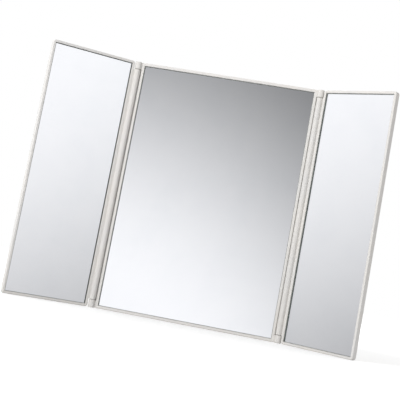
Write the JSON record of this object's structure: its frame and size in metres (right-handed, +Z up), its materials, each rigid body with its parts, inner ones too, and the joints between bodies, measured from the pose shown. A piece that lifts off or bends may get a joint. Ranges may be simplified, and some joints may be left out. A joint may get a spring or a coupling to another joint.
{
  "type": "triptych mirror",
  "caption": "Free-standing folding mirror: a large centre panel and two narrow side wings on vertical pin hinges, each a flat mirror in a slim moulded rim.",
  "frame": {"origin": "on the table under the middle of the centre frame, halfway through its thickness", "axes": "+X to the viewer's right along the centre panel, +Y away from the viewer through the panel to its back, +Z up"},
  "size_m": [0.4094, 0.0717, 0.3],
  "materials": {
    "frame": "satin warm off-white moulded plastic",
    "back_panel": "fine matte texture, off-white",
    "mirror": "polished silvered glass",
    "tape": "white foam tape",
    "pin": "drawn steel wire",
    "washer": "natural low-friction plastic"
  },
  "bodies": {
    "center": {"center_frame": "frame", "center_back_panel": "back_panel", "center_mirror": "mirror", "center_tape": "tape", "left_upper_pin": "pin", "left_lower_pin": "pin", "right_upper_pin": "pin", "right_lower_pin": "pin", "left_upper_washer": "washer", "left_lower_washer": "washer", "right_upper_washer": "washer", "right_lower_washer": "washer"},
    "left_wing": {"left_frame": "frame", "left_back_panel": "back_panel", "left_mirror": "mirror", "left_tape": "tape"},
    "right_wing": {"right_frame": "frame", "right_back_panel": "back_panel", "right_mirror": "mirror", "right_tape": "tape"}
  },
  "joints": [
    {"name": "left_wing_hinge", "type": "hinge", "parent": "center", "child": "left_wing", "pos_m": [-0.1125, -0.00365, 0.15], "axis": [0, 0, 1], "range_deg": [-36.5, 143.5]},
    {"name": "right_wing_hinge", "type": "hinge", "parent": "center", "child": "right_wing", "pos_m": [0.1125, -0.00365, 0.15], "axis": [0, 0, -1], "range_deg": [-36.5, 143.5]}
  ]
}
